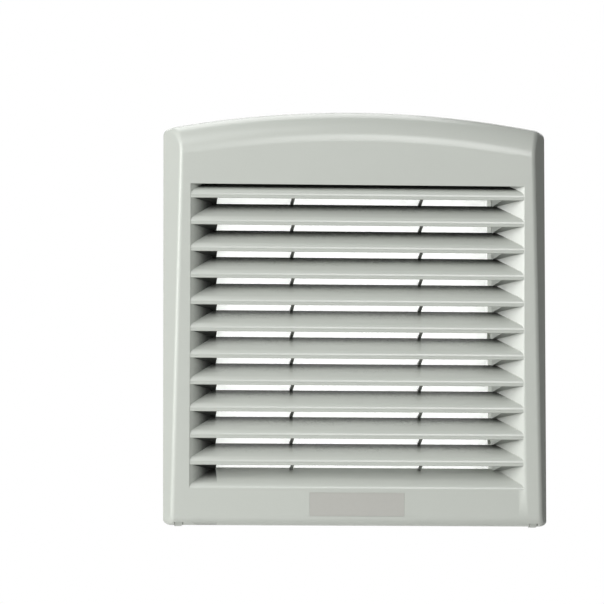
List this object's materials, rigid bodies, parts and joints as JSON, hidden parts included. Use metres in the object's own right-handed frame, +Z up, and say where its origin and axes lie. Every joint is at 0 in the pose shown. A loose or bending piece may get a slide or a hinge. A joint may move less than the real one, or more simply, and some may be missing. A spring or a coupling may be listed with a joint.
{
  "type": "ventilation grille",
  "caption": "Louvred outlet grille for a square cabinet cut-out, with a swing-down arched cover over a collar frame, filter mat, rear guard, foam gasket, sliding claws and screws.",
  "frame": {"origin": "centre of the square panel cut-out, on the panel's outer face", "axes": "+Z up, +X to the right seen from the front, the front faces -Y and the collar points +Y into the cabinet"},
  "size_m": [0.248, 0.0603, 0.2685],
  "materials": {
    "cover_plastic": "satin light grey moulded plastic",
    "label": "satin blank label",
    "base_plastic": "satin light grey moulded plastic",
    "guard_plastic": "satin light grey moulded plastic",
    "filter_fibre": "bonded white fibre",
    "foam": "closed cell foam",
    "screw_steel": "zinc plated",
    "claw_plastic": "black glass filled nylon"
  },
  "bodies": {
    "base": {"base_flange": "base_plastic", "hinge_ears": "base_plastic", "tongue_keepers": "base_plastic", "base_collar": "base_plastic", "filter_tray": "base_plastic", "tray_webs": "base_plastic", "claw_pockets": "base_plastic", "rear_guard": "guard_plastic", "filter_mat": "filter_fibre", "panel_gasket": "foam", "fixing_screws": "screw_steel"},
    "cover": {"cover_shell": "cover_plastic", "window_frame": "cover_plastic", "louvre_blades": "cover_plastic", "cover_webs": "cover_plastic", "cover_tongues": "cover_plastic", "blank_label": "label"},
    "claw_tl": {"claw_top_left": "claw_plastic"},
    "claw_tr": {"claw_top_right": "claw_plastic"},
    "claw_bl": {"claw_bottom_left": "claw_plastic"},
    "claw_br": {"claw_bottom_right": "claw_plastic"}
  },
  "joints": [
    {"name": "cover_hinge", "type": "hinge", "parent": "base", "child": "cover", "pos_m": [0, -0.0072, -0.12], "axis": [1, 0, 0], "range_deg": [0, 90]},
    {"name": "claw_tl_slide", "type": "slide", "parent": "base", "child": "claw_tl", "axis": [0, 1, 0], "range_m": [-0.001, 0.0025]},
    {"name": "claw_tr_slide", "type": "slide", "parent": "base", "child": "claw_tr", "axis": [0, 1, 0], "range_m": [-0.001, 0.0025]},
    {"name": "claw_bl_slide", "type": "slide", "parent": "base", "child": "claw_bl", "axis": [0, 1, 0], "range_m": [-0.001, 0.0025]},
    {"name": "claw_br_slide", "type": "slide", "parent": "base", "child": "claw_br", "axis": [0, 1, 0], "range_m": [-0.001, 0.0025]}
  ]
}
